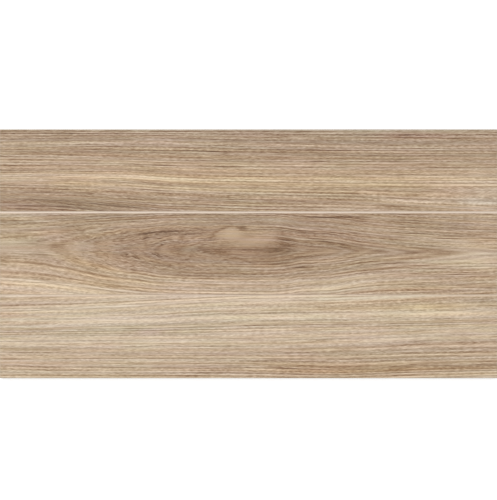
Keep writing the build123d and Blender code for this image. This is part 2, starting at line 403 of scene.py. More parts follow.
# The fibre: the tone that it starts from, its soft layers and its thin dark lines. Each of them is
# (length, pitch across the grain, seed, strength in steps of tone).
PLAIN_FIBRE = (3.0, ((150.0, 1.9, 5.0, 60.0), (28.0, 1.7, 7.0, 55.0)), (110.0, 3.2, 15.0, -32.0))
CURLY_FIBRE = (5.0, ((9.0, 2.0, 9.0, 50.0),), (13.0, 2.6, 17.0, -50.0))
# Flecks of the fibre: length, pitch and seed, and the steps of tone that a full one adds
FLECKS = (5.0, 1.5, 13.0)
FLECK_TONE = 100.0
# Waves of the curly fibre: length, height across the grain, seed, and how far they sway across it
WAVES = (13.0, 6.0, 3.0)
WAVE_SWAY = 4.5
# Share of the fibre that is lost under the joints' glaze, on the knot, and for each step of paler tone
JOINT_LOSS = 0.7
CALM_LOSS = 1.0
TONE_LOSS = 0.005
# How far each row of the fibre is shifted along the grain, and how narrow its thin lines are
ROW_SHIFT = 2.5
LINE_SHARPNESS = 15.0

# What one step of blush, and one step of honey, adds to red, green and blue
BLUSH_CAST = (0.009, -0.009, 0.009)
HONEY_CAST = (0.0075, 0.0015, -0.012)

# Height of the back, in metres, up to which the kiln's rollers leave their wash
WASH_HEIGHT = 0.25 * MM

# Half width of the floor, in metres, and how bright it glows to the camera alone so that it shows white
FLOOR_REACH = 3.0
FLOOR_LIFT = 0.5

# Size and place of the soft lamp, in metres
LAMP_SIZE = (1.6, 1.2)
LAMP_PLACE = (-1.3, 1.6, 2.5)

# Width and height of the picture, in pixels
PICTURE = (497, 500)


def length(name, description, size):
    """A length that the user can change, with its default given in millimetres."""
    return FloatProperty(name=name, description=description, default=size * MM, unit="LENGTH", precision=5)


def colour(name, description, *parts):
    """A colour that the user can change, with its default given as a screen shows it."""
    return FloatVectorProperty(name=name, description=description, default=shown(*parts), subtype="COLOR")


class FloorTileSizes(PropertyGroup):
    """Sizes of the tile's body, beside the overall ones, which come from the frame."""

    face_arris: length("Face arris", "Width of the 45 degree arris round the printed face", 0.6)
    back_arris: length("Back arris", "Width of the 45 degree arris round the back", 0.8)
    plank_count: IntProperty(name="Planks", description="Planks that the face is parted into", default=3)
    joint_mouth: length("Joint mouth", "Width of a false joint between its shoulders", 3.4)
    joint_depth: length("Joint depth", "Depth of a false joint below the face", 0.7)
    joint_shoulder_radius: length("Joint shoulder radius", "Radius of a false joint's shoulders", 1.1)
    relief_depth: length("Grain relief", "Depth of the pressed grain below the face", 0.16)
    pocket_columns: IntProperty(name="Pocket columns", description="Pockets along the back", default=20)
    pocket_rows: IntProperty(name="Pocket rows", description="Pockets across the back", default=10)
    rim_width: length("Rim width", "Width of the plain rim round the pockets", 10)
    rib_width: length("Rib width", "Width of the ribs between pockets", 4)
    pocket_depth: length("Pocket depth", "Depth of the pockets in the back", 0.8)
    pocket_corner_clip: length("Pocket corner clip", "Length clipped off each corner of a pocket", 3)
    pocket_draft: FloatProperty(
        name="Pocket draft",
        description="Slope of a pocket's walls away from upright",
        default=np.radians(30),
        subtype="ANGLE",
    )


class FloorTileColours(PropertyGroup):
    """Colours of the print, the porcelain body and the stage."""

    pore: colour("Pore", "Deepest strokes of the print", 98, 70, 46)
    latewood: colour("Latewood", "Dark grain of the print", 130, 98, 67)
    brown_wood: colour("Brown wood", "Dark wood of the print", 158, 130, 101)
    mid_wood: colour("Mid wood", "Common wood of the print", 184, 159, 132)
    pale_wood: colour("Pale wood", "Pale wood of the print", 210, 187, 160)
    sapwood: colour("Sapwood", "Palest grain of the print", 234, 214, 188)
    joint_glaze: colour("Joint glaze", "Pale glaze in the false joints", 226, 209, 192)
    body: colour("Porcelain body", "Ground porcelain of the sides", 168, 156, 140)
    kiln_wash: colour("Kiln wash", "White wash that the kiln leaves on the back's ribs", 222, 217, 208)
    floor: colour("Floor", "Floor that the tile lies on", 240, 240, 240)


class FloorTileStage(PropertyGroup):
    """Light and camera of the stage."""

    sky_level: FloatProperty(name="Sky level", description="Light from all round", default=0.687)
    lamp_power: FloatProperty(
        name="Lamp power", description="Power of the soft lamp", default=37.7, unit="POWER"
    )
    lens: FloatProperty(
        name="Lens", description="Focal length of the camera", default=100.0, subtype="DISTANCE_CAMERA"
    )
    camera_shift_y: length("Camera offset", "How far beyond the tile's middle the camera stands", 4.56)


# Mesh of the tile


def eased(part):
    """A share from nought to one that starts and ends gently."""
    return part * part * (3 - 2 * part)


def eased_line(points, along, reach=GRAIN_EASE):
    """Where a grain line runs across the tile at each place along it, with its corners eased."""
    xs, ys = zip(*points)
    steps = np.linspace(-reach, reach, EASE_PLACES)
    return np.mean([np.interp(along + step, xs, ys) for step in steps], axis=0)


def straight_level(grain, x, y):
    """Straightens a plank's grain: each line keeps its own level, that of its middle, at every x and y."""
    x = np.atleast_1d(x)
    middles = [eased_line(points, 0.0) for points in grain]
    levels = np.array([middles[0] + GRAIN_MARGIN, *middles, middles[-1] - GRAIN_MARGIN])[::-1]
    lines = np.array([eased_line(points, x) for points in grain])
    lines = np.vstack([lines[:1] + GRAIN_MARGIN, lines, lines[-1:] - GRAIN_MARGIN])[::-1]
    return np.array([np.interp(y, column, levels) for column in lines.T])


def figure_place(x, y):
    """Place in the closed figure: height off its middle line, ring that crosses it there, and roundness."""
    height = y - eased_line(EYE_LINE, x)
    height = np.where(height > 0, EYE_RISE * height, height)
    roundness = np.interp(x, (-EYE_TURN, EYE_TURN), EYE_ROUNDNESS)
    return height, eased_line(EYE_REACH, x, reach=EYE_EASE), roundness


def ring_level(x, y):
    """Ring of the closed figure that a place lies on."""
    height, reach, roundness = figure_place(x, y)
    return (np.abs(height) ** roundness + reach**roundness) ** (1 / roundness)


def figure_level(x, y):
    """Level of a place across the fibre of the closed figure, which parts above and below it."""
    height, reach, roundness = figure_place(x, y)
    above, below, right = FIBRE_SPREAD
    reach = np.minimum(reach, np.where(x > 0, right, np.where(height > 0, above, below)))
    widening = (reach**2 / (height**2 + EYE_CORE**2)) ** (roundness / 2)
    return height * (1 + widening) ** (1 / roundness)


def curl_share(x, y):
    """How far a place belongs to the inside of the closed figure, where the fibre is short and wavy."""
    east = (x - CURL_MIDDLE[0]) / CURL_HALF[0]
    north = (y - CURL_MIDDLE[1]) / CURL_HALF[1]
    return np.exp(-(east**4) - north**4)


def spotted(spots, columns, rows):
    """Adds up soft spots, each a tilted oval."""
    total = np.zeros((len(columns), len(rows)))
    for x, y, length_along, height, rise, strength in spots:
        east = columns[:, None] - x
        north = rows[None, :] - y - rise * east
        distance = (2 * east / length_along) ** 2 + (2 * north / height) ** 2
        total += strength * np.exp(-(distance**SPOT_EDGE))
    return total


def marked(marks, columns, levels, level_at):
    """Adds up marks: each is soft across the grain, and fades out at its ends."""
    total = np.zeros(levels.shape)
    for x, y, length_along, width, strength in marks:
        across = np.exp(-MARK_EDGE * ((levels - level_at(x, y)) / width) ** 2)
        along = np.exp(-MARK_END * (2 * np.abs(columns - x) / length_along) ** 4)
        total += strength * across * along[:, None]
    return total


def streaks(along, across, kind, by_turns=True):
    """Lines drawn out along the grain, either dark and pale by turns or at random."""
    strength, length_along, pitch, seed = kind
    rng = np.random.default_rng(seed)
    if by_turns:
        turns = np.where(np.arange(STREAK_ROWS) % 2, 1, -1)
        table = rng.uniform(WEAKEST_STREAK, 1, (STREAK_ROWS, STREAK_CELLS)) * turns[:, None]
    else:
        table = rng.uniform(-1, 1, (STREAK_ROWS, STREAK_CELLS))
    starts = rng.uniform(0, STREAK_CELLS, STREAK_ROWS)
    rows = across / pitch + STREAK_ROWS / 2
    row = np.floor(rows).astype(int)
    share = eased(rows - row)
    place = along / length_along
    upper = streak_row(table, starts, row, place)
    lower = streak_row(table, starts, row + 1, place)
    return strength * (upper * (1 - share) + lower * share)


def streak_row(table, starts, row, place):
    """Streaks of one row of their table, at places that count its cells."""
    place = place + starts[row]
    cell = np.floor(place).astype(int)
    share = eased(place - cell)
    return table[row, cell % STREAK_CELLS] * (1 - share) + table[row, (cell + 1) % STREAK_CELLS] * share


def trough_depth(distance, sizes):
    """Depth of a false joint at a distance from its middle line, all in millimetres."""
    half = sizes.joint_mouth / MM / 2
    depth = sizes.joint_depth / MM
    shoulder = sizes.joint_shoulder_radius / MM
    slope = 2 * np.arctan(depth / half)
    bed = half / np.sin(slope) - shoulder
    distance = np.abs(distance)
    turn = bed * np.sin(slope)
    on_bed = depth - bed + np.sqrt(np.maximum(bed**2 - np.minimum(distance, turn) ** 2, 0))
    inward = np.clip(half - distance, 0, shoulder)
    on_shoulder = shoulder - np.sqrt(shoulder**2 - inward**2)
    return np.where(distance < turn, on_bed, np.where(distance < half, on_shoulder, 0))


def face_print(columns, rows, sizes):
    """Works out the print over the face: where each point lies in the grain, its tone, tint and curl."""
    pitch = TILE_SIZE.y / MM / sizes.plank_count
    plank_of = ((TILE_SIZE.y / MM / 2 - rows) // pitch).astype(int)
    plank_of = np.clip(plank_of, 0, sizes.plank_count - 1)
    shape = (len(columns), len(rows))
    flow, ring, tone, honey, blush, curl, calm = (np.zeros(shape) for _ in range(7))
    for index, (grain, marks, tints, spots, ground, curly) in enumerate(PLANKS):
        mine = plank_of == index
        if grain:
            level_at = partial(straight_level, grain)
            here = level_at(columns, rows[mine])
        else:
            level_at = figure_level
            here = level_at(columns[:, None], rows[None, mine])
        flow[:, mine] = here
        ring[:, mine] = here
        # Marks and spots set the tone, and with it the painted shade along the false joints
        tone[:, mine] = ground + marked(marks, columns, here, level_at)
        tone[:, mine] += spotted(spots, columns, rows[mine])
        honey[:, mine] = marked([tint[:5] for tint in tints], columns, here, level_at)
        blush[:, mine] = marked([(*tint[:4], tint[5]) for tint in tints], columns, here, level_at)
        if curly:
            east, north = np.meshgrid(columns, rows[mine], indexing="ij")
            sway = curly * curl_share(east, north)
            east = east + sway * streaks(east, north, SWAY_ALONG, by_turns=False)
            north = north + sway * streaks(east, north, SWAY_ACROSS, by_turns=False)
            rings = ring_level(east, north)
            ring[:, mine] = rings
            tone[:, mine] += marked(EYE_MARKS, columns, rings, ring_level)
            calm[:, mine] = spotted(KNOT_CALM, columns, rows[mine])
            curl[:, mine] = sway
    return flow, ring, tone, honey, blush, curl, np.minimum(calm, 1)


class Surface:
    """Collects the points and faces of the tile's mesh."""

    def __init__(self):
        self.points = []
        self.count = 0
        self.faces = []
        self.kinds = []

    def add_points(self, points):
        """Adds points, given as an array of any shape that ends in three, and gives their numbers."""
        points = np.asarray(points, dtype=float)
        numbers = self.count + np.arange(points.size // 3).reshape(points.shape[:-1])
        self.points.append(points.reshape(-1, 3))
        self.count += numbers.size
        return numbers

    def add_grid(self, numbers, kind):
        """Adds faces between the points of a grid."""
        quads = np.stack([numbers[:-1, :-1], numbers[1:, :-1], numbers[1:, 1:], numbers[:-1, 1:]], axis=-1)
        self.add_faces(quads.reshape(-1, 4), kind)

    def add_belt(self, upper, lower, kind):
        """Adds faces between two closed rings of points that run anticlockwise seen from above."""
        self.add_faces(np.stack([upper, lower, np.roll(lower, -1), np.roll(upper, -1)], axis=-1), kind)

    def add_faces(self, faces, kind):
        """Adds faces, each a row of point numbers, and notes which part of the tile they belong to."""
        self.faces.extend(tuple(int(n) for n in face) for face in faces)
        self.kinds.extend([kind] * len(faces))


FACE, SIDE, BACK = range(3)


def rim_of(grid):
    """Numbers of a grid's outer points, anticlockwise seen from above."""
    return np.concatenate([grid[:-1, 0], grid[-1, :-1], grid[:0:-1, -1], grid[0, :0:-1]])


def face_rows(sizes):
    """Rows of the face across the tile, closer together in the joints, and the joints' middle lines."""
    half = TILE_SIZE.y / MM / 2 - sizes.face_arris / MM
    pitch = TILE_SIZE.y / MM / sizes.plank_count
    reach = sizes.joint_mouth / MM / 2 + JOINT_MARGIN
    joints = [(k - (sizes.plank_count - 2) / 2) * pitch for k in range(sizes.plank_count - 1)]
    edges = [-half] + [joint + side * reach for joint in joints for side in (-1, 1)] + [half]
    rows = []
    for low, high, spacing in zip(edges[:-1], edges[1:], ROW_SPACING * sizes.plank_count):
        steps = round((high - low) / spacing)
        rows.append(np.linspace(low, high, steps, endpoint=False))
    return np.concatenate(rows + [[half]]), joints


def lay_face(surface, sizes):
    """The printed face: planks, false joints and grain relief. Gives its point numbers and its fields."""
    arris = sizes.face_arris / MM
    half_length = TILE_SIZE.x / MM / 2 - arris
    columns = np.linspace(-half_length, half_length, FACE_COLUMNS)
    rows, joints = face_rows(sizes)
    flow, ring, tone, honey, blush, curl, calm = face_print(columns, rows, sizes)

    along = np.broadcast_to(columns[:, None], flow.shape)
    fine = (streaks(along, ring, RING_STREAKS) + streaks(along, flow, GRAIN_STREAKS)) * (1 - calm)
    honey = honey + streaks(along, ring, HONEY_STREAKS) + curl * streaks(along, flow, CURLY_HONEY_STREAKS)
    blush = blush + streaks(along, flow, BLUSH_STREAKS, by_turns=False)

    near_joint = np.min([np.abs(rows - joint) for joint in joints], axis=0)
    near_edge = np.minimum(half_length - np.abs(columns)[:, None], rows[-1] - np.abs(rows)[None, :])
    plain = np.clip(near_edge / RELIEF_EDGE, 0, 1)
    plain = plain * np.clip((near_joint - RELIEF_START) / RELIEF_RISE, 0, 1)[None, :]
    relief = np.clip(RELIEF_GROUND - RELIEF_STREAK * fine - RELIEF_TONE * tone, 0, 1) * plain
    depth = sizes.relief_depth / MM * relief + trough_depth(near_joint, sizes)[None, :]

    # The points of both ends move out to where the arris meets the deeper joints
    xs = along.copy()
    ends = xs[[0, -1], :]
    xs[[0, -1], :] = ends + np.sign(ends) * np.minimum(depth[[0, -1], :], arris - LEAST_ARRIS)
    ys = np.broadcast_to(rows[None, :], flow.shape)
    points = np.stack([xs, ys, TILE_SIZE.z / MM - depth], axis=-1)
    numbers = surface.add_points(points)
    surface.add_grid(numbers, FACE)

    paleness = np.clip((JOINT_GLAZE_END - near_joint) / JOINT_GLAZE_RISE, 0, 1)
    paleness = np.where(rows > 0, *JOINT_PALENESS) * paleness
    streaked = (STREAK_TONE - STREAK_TONE_DROP * tone) * fine * (1 - CURLY_STREAK_LOSS * curl)
    fields = {
        "along": along,
        "flow": flow,
        "tone": tone + streaked,
        "honey": honey,
        "blush": blush,
        "curl": curl,
        "calm": calm,
        "joint": np.broadcast_to(paleness[None, :], flow.shape),
    }
    return numbers, points, fields


def add_sides(surface, rim, rim_points, sizes):
    """The arris of the face, the ground sides and the arris of the back, down to the rim of the back."""
    half_x = TILE_SIZE.x / MM / 2
    half_y = TILE_SIZE.y / MM / 2
    arris = sizes.face_arris / MM
    back = sizes.back_arris / MM
    outer = rim_points.copy()
    at_end = np.abs(rim_points[:, 0]) > half_x - arris - TINY
    at_side = np.abs(rim_points[:, 1]) > half_y - arris - TINY
    outer[at_end, 0] = np.sign(outer[at_end, 0]) * half_x
    outer[at_side, 1] = np.sign(outer[at_side, 1]) * half_y
    upper = outer.copy()
    upper[:, 2] = np.minimum(TILE_SIZE.z / MM - arris, rim_points[:, 2] - LEAST_ARRIS)
    lower = outer.copy()
    lower[:, 2] = back
    under = outer.copy()
    under[at_end, 0] -= np.sign(under[at_end, 0]) * back
    under[at_side, 1] -= np.sign(under[at_side, 1]) * back
    under[:, 2] = 0
    previous = rim
    for ring in (upper, lower, under):
        numbers = surface.add_points(ring)
        surface.add_belt(previous, numbers, SIDE)
        previous = numbers
    return previous, under


def add_back(surface, rim, rim_points, sizes):
    """The back: a plain rim, and ribs round drafted pockets with softened edges."""
    pitch_x = (TILE_SIZE.x - 2 * sizes.rim_width + sizes.rib_width) / MM / sizes.pocket_columns
    pitch_y = (TILE_SIZE.y - 2 * sizes.rim_width + sizes.rib_width) / MM / sizes.pocket_rows
    lines_x = (np.arange(sizes.pocket_columns + 1) - sizes.pocket_columns / 2) * pitch_x
    lines_y = (np.arange(sizes.pocket_rows + 1) - sizes.pocket_rows / 2) * pitch_y
    net = np.zeros((len(lines_x), len(lines_y), 3))
    net[..., 0] = lines_x[:, None]
    net[..., 1] = lines_y[None, :]
    net = surface.add_points(net)
    for i in range(sizes.pocket_columns):
        for j in range(sizes.pocket_rows):
            middle = (lines_x[i] + pitch_x / 2, lines_y[j] + pitch_y / 2)
            corners = net[[i + 1, i + 1, i, i], [j, j + 1, j + 1, j]]
            add_pocket(surface, middle, corners, (pitch_x, pitch_y), sizes)

    # The plain rim: one flat face along each side, from the tile's border to the net of ribs
    inner = rim_of(net)
    columns, rows = net.shape
    inner_corners = (0, columns - 1, columns + rows - 2, 2 * columns + rows - 3)
    total = rim_points[:, 0] + rim_points[:, 1]
    difference = rim_points[:, 0] - rim_points[:, 1]
    outer_corners = (np.argmin(total), np.argmax(difference), np.argmax(total), np.argmin(difference))
    for side in range(4):
        outer_run = run_of(rim, outer_corners[side], outer_corners[(side + 1) % 4])
        inner_run = run_of(inner, inner_corners[side], inner_corners[(side + 1) % 4])
        surface.add_faces([outer_run[::-1] + inner_run], BACK)


def add_pocket(surface, middle, corners, pitch, sizes):
    """One pocket of the back, with the ribs round it as far as the corners of its square in the net."""
    depth = sizes.pocket_depth / MM
    lean = np.tan(sizes.pocket_draft)
    half_x, half_y = (size / 2 - sizes.rib_width / MM / 2 for size in pitch)
    # Inset and depth of each ring: over the pocket's softened lip, down its wall and onto its floor
    steps = [(-LIP_START, 0), WALL_START]
    steps += [(sink * lean, sink) for sink in WALL_RINGS]
    steps += [(depth * lean + FLOOR_EASE, depth)]
    rings = []
    for inset, sink in steps:
        a = half_x - inset
        b = half_y - inset
        cut = sizes.pocket_corner_clip / MM - inset * (2 - np.sqrt(2))
        ring = [(a, -b + cut), (a, b - cut), (a - cut, b), (-a + cut, b)]
        ring += [(-x, -y) for x, y in ring]
        rings.append([(middle[0] + x, middle[1] + y, sink) for x, y in ring])
    rings = surface.add_points(rings)
    mouth = rings[0]
    for side in range(4):
        near, far, after = (mouth[(2 * side + step) % 8] for step in range(3))
        low, high = corners[side], corners[(side + 1) % 4]
        surface.add_faces([(low, near, far, high)], BACK)
        surface.add_faces([(high, far, after)], BACK)
    for upper, lower in zip(rings[:-1], rings[1:]):
        surface.add_belt(upper, lower, BACK)
    surface.add_faces([rings[-1][::-1]], BACK)


def run_of(ring, first, last):
    """Numbers along a closed ring from its first place to its last, both included."""
    count = (last - first) % len(ring)
    return [int(ring[(first + step) % len(ring)]) for step in range(count + 1)]


def make_mesh(sizes):
    """The whole tile as one closed mesh, with its fields and its maps."""
    surface = Surface()
    numbers, points, fields = lay_face(surface, sizes)
    rim = rim_of(numbers)
    rim_points = points.reshape(-1, 3)[rim]
    back_rim, back_points = add_sides(surface, rim, rim_points, sizes)
    add_back(surface, back_rim, back_points, sizes)

    mesh = bpy.data.meshes.new("tile_body")
    all_points = np.concatenate(surface.points) * MM
    mesh.from_pydata(all_points.tolist(), [], surface.faces)
    mesh.validate()
    mesh.polygons.foreach_set("material_index", np.array(surface.kinds, dtype=np.int32))
    mesh.polygons.foreach_set("use_smooth", np.ones(len(mesh.polygons), dtype=bool))
    mesh.update()
    mesh.set_sharp_from_angle(angle=np.radians(SHARP_ANGLE))

    count = len(mesh.vertices)
    face = numbers.ravel()
    printed = np.zeros((count, 3), dtype=np.float32)
    # The tone also carries the painted shade along the false joints
    for column, name in enumerate(("tone", "honey", "curl")):
        printed[face, column] = fields[name].ravel()
    attribute = mesh.attributes.new("Print", "FLOAT_VECTOR", "POINT")
    attribute.data.foreach_set("vector", printed.ravel())
    for name in ("joint", "calm", "blush"):
        values = np.zeros(count, dtype=np.float32)
        values[face] = fields[name].ravel()
        attribute = mesh.attributes.new(name.title(), "FLOAT", "POINT")
        attribute.data.foreach_set("value", values)

    grain = np.zeros((count, 2), dtype=np.float32)
    grain[face, 0] = fields["along"].ravel() * MM
    grain[face, 1] = fields["flow"].ravel() * MM
    corners = np.empty(len(mesh.loops), dtype=np.int32)
    mesh.loops.foreach_get("vertex_index", corners)
    layer = mesh.uv_layers.new(name="Grain")
    layer.data.foreach_set("uv", grain[corners].ravel())
    lay_bake_map(mesh, corners, all_points)
    mesh.uv_layers.active = mesh.uv_layers["Grain"]
    return mesh


def lay_bake_map(mesh, corners, points):
    """A map of the whole surface for baking: the face above, the back below it, then the four sides."""
    count = len(mesh.polygons)
    kinds = np.empty(count, dtype=np.int32)
    mesh.polygons.foreach_get("material_index", kinds)
    totals = np.empty(count, dtype=np.int32)
    mesh.polygons.foreach_get("loop_total", totals)
    normals = np.empty(count * 3, dtype=np.float32)
    mesh.polygons.foreach_get("normal", normals)
    normals = normals.reshape(-1, 3)
    turned = np.where(np.abs(normals[:, 0]) > np.abs(normals[:, 1]), 0, 1)
    onward = np.where(normals[np.arange(count), turned] > 0, 1, 0)
    kind, turned, onward = (np.repeat(values, totals) for values in (kinds, turned, onward))

    x, y, z = ((points[corners] - np.array(TILE_LOW)) / np.array(TILE_SIZE)).T
    start, height = FACE_BAND
    uv = np.stack([x, start + height * y], axis=-1)
    start, height = BACK_BAND
    uv[kind == BACK, 1] = (start + height * y)[kind == BACK]
    start, pitch, height = SIDE_BANDS
    uv[kind == SIDE, 0] = np.where(turned == 0, y, x)[kind == SIDE]
    uv[kind == SIDE, 1] = (start + pitch * (2 * turned + onward) + height * z)[kind == SIDE]
    uv[:, 0] = MAP_MARGIN + (1 - 2 * MAP_MARGIN) * uv[:, 0]
    layer = mesh.uv_layers.new(name="OFBake")
    layer.data.foreach_set("uv", uv.ravel().astype(np.float32))


# Materials


def place_node(tree, kind, inputs=None, **settings):
    """Adds a node, with its settings, and its inputs as values or as links from other nodes' outputs."""
    node = tree.nodes.new(kind)
    for name, value in settings.items():
        setattr(node, name, value)
    for key, value in (inputs or {}).items():
        if isinstance(value, NodeSocket):
            tree.links.new(value, node.inputs[key])
        else:
            node.inputs[key].default_value = value
    return node


def maths(tree, operation, *values, clamp=False):
    """The result of a sum, product or other calculation on numbers."""
    inputs = dict(enumerate(values))
    return place_node(tree, "ShaderNodeMath", inputs, operation=operation, use_clamp=clamp).outputs[0]


def added_up(tree, start, *terms, clamp=False):
    """A start and the products of some terms, each a value and its factor, all added up."""
    total = start
    for value, factor in terms:
        total = maths(tree, "MULTIPLY_ADD", value, factor, total, clamp=clamp)
    return total


def vector(tree, x, y, z):
    """A vector of three numbers."""
    return place_node(tree, "ShaderNodeCombineXYZ", {0: x, 1: y, 2: z}).outputs[0]


def vector_parts(tree, value):
    """The three numbers of a vector."""
    return place_node(tree, "ShaderNodeSeparateXYZ", {0: value}).outputs


def mesh_value(tree, name, output="Fac"):
    """What the mesh's attribute of that name says."""
    return place_node(tree, "ShaderNodeAttribute", attribute_name=name).outputs[output]


def noise(tree, place, scale, detail=0.0, roughness=0.5):
    """Soft noise, from nought to one."""
    inputs = {"Vector": place, "Scale": scale, "Detail": detail, "Roughness": roughness}
    return place_node(tree, "ShaderNodeTexNoise", inputs).outputs[0]


def stretched_noise(tree, along, across, length_along, pitch, seed, detail=0.0):
    """Noise drawn out along the grain, centred on nought. Each row of it starts at a place of its own."""
    row = maths(tree, "DIVIDE", across, pitch)
    inputs = {"W": row, "Scale": 1.0, "Detail": 0.0}
    shift = place_node(tree, "ShaderNodeTexNoise", inputs, noise_dimensions="1D").outputs[0]
    start = added_up(tree, maths(tree, "DIVIDE", along, length_along), (shift, ROW_SHIFT))
    return maths(tree, "SUBTRACT", noise(tree, vector(tree, start, row, seed), 1.0, detail, 0.6), 0.5)


def fine_lines(tree, along, across, length_along, pitch, seed):
    """Thin lines drawn out along the grain, which fade in and out: nought between them, and one on them."""
    middle = stretched_noise(tree, along, across, length_along, pitch, seed)
    line = added_up(tree, 1.0, (maths(tree, "ABSOLUTE", middle), -LINE_SHARPNESS), clamp=True)
    strength = stretched_noise(tree, along, across, length_along, 2 * pitch, seed + 0.5)
    return maths(tree, "MULTIPLY", line, added_up(tree, 0.5, (strength, 3.0), clamp=True))


def scaled(tree, value, factor):
    """A colour or vector times a number."""
    inputs = {0: value, "Scale": factor}
    return place_node(tree, "ShaderNodeVectorMath", inputs, operation="SCALE").outputs[0]


def multiplied(tree, first, second):
    """The product of two colours or vectors, part by part."""
    return place_node(tree, "ShaderNodeVectorMath", {0: first, 1: second}, operation="MULTIPLY").outputs[0]


def covered(tree, under, over, share):
    """A colour that another one covers to some share."""
    mix = place_node(tree, "ShaderNodeMix", {"Factor": share}, data_type="RGBA")
    below, above = (socket for socket in mix.inputs if socket.type == "RGBA")
    tree.links.new(under, below)
    above.default_value = (*over, 1.0)
    return next(socket for socket in mix.outputs if socket.type == "RGBA")


def dress_shader(tree, shader, base, roughness, height, strength, distance):
    """Gives a shader its colour, its roughness and its bump."""
    tree.links.new(base, shader.inputs["Base Color"])
    if isinstance(roughness, NodeSocket):
        tree.links.new(roughness, shader.inputs["Roughness"])
    else:
        shader.inputs["Roughness"].default_value = roughness
    inputs = {"Strength": strength, "Distance": distance * MM, "Height": height}
    tree.links.new(place_node(tree, "ShaderNodeBump", inputs).outputs[0], shader.inputs["Normal"])


def new_material(name):
    """A material with an empty tree, and its shader."""
    material = bpy.data.materials.new(name)
    material.use_nodes = True
    tree = material.node_tree
    tree.nodes.clear()
    shader = tree.nodes.new("ShaderNodeBsdfPrincipled")
    output = tree.nodes.new("ShaderNodeOutputMaterial")
    tree.links.new(shader.outputs[0], output.inputs[0])
    return material, tree, shader


def fibre_layers(tree, along, across, start, soft_layers, lines):
    """The layers of one kind of fibre, added up in steps of tone."""
    terms = [(stretched_noise(tree, along, across, *layer[:3]), layer[3]) for layer in soft_layers]
    terms.append((fine_lines(tree, along, across, *lines[:3]), lines[3]))
    return added_up(tree, start, *terms)


def wood_fibre(tree, along, across, tone, curl, flecks):
    """The fibre of the print in steps of tone: long on plain wood, and short and wavy where it curls."""
    plain = maths(tree, "SUBTRACT", 1.0, curl)
    fibre = maths(tree, "MULTIPLY", fibre_layers(tree, along, across, *CURLY_FIBRE), curl)
    long_grain = fibre_layers(tree, along, across, *PLAIN_FIBRE)
    fibre = added_up(tree, fibre, (long_grain, plain), (flecks, FLECK_TONE))
    return maths(tree, "MULTIPLY", fibre, added_up(tree, 1.0, (tone, -TONE_LOSS)))


def printed_glaze(colours):
    """The satin glaze over the wood print. Its tone runs over the wood's colours from pore to sapwood."""
    material, tree, shader = new_material("Printed glaze")
    grain = place_node(tree, "ShaderNodeUVMap", uv_map="Grain").outputs[0]
    along, across, _ = vector_parts(tree, scaled(tree, grain, 1 / MM))
    tone, honey, curl = vector_parts(tree, mesh_value(tree, "Print", "Vector"))
    joint = mesh_value(tree, "Joint")
    calm = mesh_value(tree, "Calm")
    blush = mesh_value(tree, "Blush")

    # The curly fibre sways across the grain
    wave_length, wave_height, seed = WAVES
    steps = (maths(tree, "DIVIDE", along, wave_length), maths(tree, "DIVIDE", across, wave_height))
    sway = maths(tree, "SUBTRACT", noise(tree, vector(tree, *steps, seed), 1.0), 0.5)
    across = added_up(tree, across, (sway, maths(tree, "MULTIPLY", curl, WAVE_SWAY)))
    flecks = stretched_noise(tree, along, across, *FLECKS, detail=1.0)
    fibre = wood_fibre(tree, along, across, tone, curl, flecks)
    for value, loss in ((joint, JOINT_LOSS), (calm, CALM_LOSS)):
        fibre = maths(tree, "MULTIPLY", fibre, added_up(tree, 1.0, (value, -loss)))
    level = added_up(tree, TONE_ZERO, (maths(tree, "ADD", tone, fibre), TONE_STEP))

    ramp = place_node(tree, "ShaderNodeValToRGB", {0: level})
    names = ("pore", "latewood", "brown_wood", "mid_wood", "pale_wood", "sapwood")
    stops = [getattr(colours, name) for name in names]
    elements = ramp.color_ramp.elements
    while len(elements) < len(stops):
        elements.new(0.5)
    for index, stop in enumerate(stops):
        elements[index].position = index / (len(stops) - 1)
        elements[index].color = (*stop, 1.0)
    casts = zip(BLUSH_CAST, HONEY_CAST)
    cast = vector(tree, *(added_up(tree, 1.0, (blush, rose), (honey, warm)) for rose, warm in casts))
    wood = multiplied(tree, ramp.outputs[0], cast)
    glazed = covered(tree, wood, colours.joint_glaze, joint)
    gloss = added_up(tree, 0.55, (level, -0.15), (flecks, 0.25))
    height = maths(tree, "MULTIPLY", fibre, 0.05)
    dress_shader(tree, shader, glazed, gloss, height, strength=0.35, distance=0.06)
    return material


def ground_porcelain(colours):
    """The sides and arrises, ground square: bare porcelain with fine marks of the wheel."""
    material, tree, shader = new_material("Ground porcelain")
    place = place_node(tree, "ShaderNodeTexCoord").outputs["Object"]
    speck = noise(tree, place, 1800.0, detail=2.0)
    cloud = noise(tree, place, 45.0, detail=3.0)
    # The wheel's marks are drawn out along the sides
    wheel = noise(tree, multiplied(tree, place, (60.0, 60.0, 9000.0)), 1.0, detail=3.0)
    shade = added_up(tree, 0.74, (cloud, 0.12), (speck, 0.30), (wheel, 0.10))
    body = scaled(tree, tuple(colours.body), shade)
    dullness = added_up(tree, 0.5, (wheel, 0.2))
    dress_shader(tree, shader, body, dullness, wheel, strength=0.4, distance=0.04)
    return material


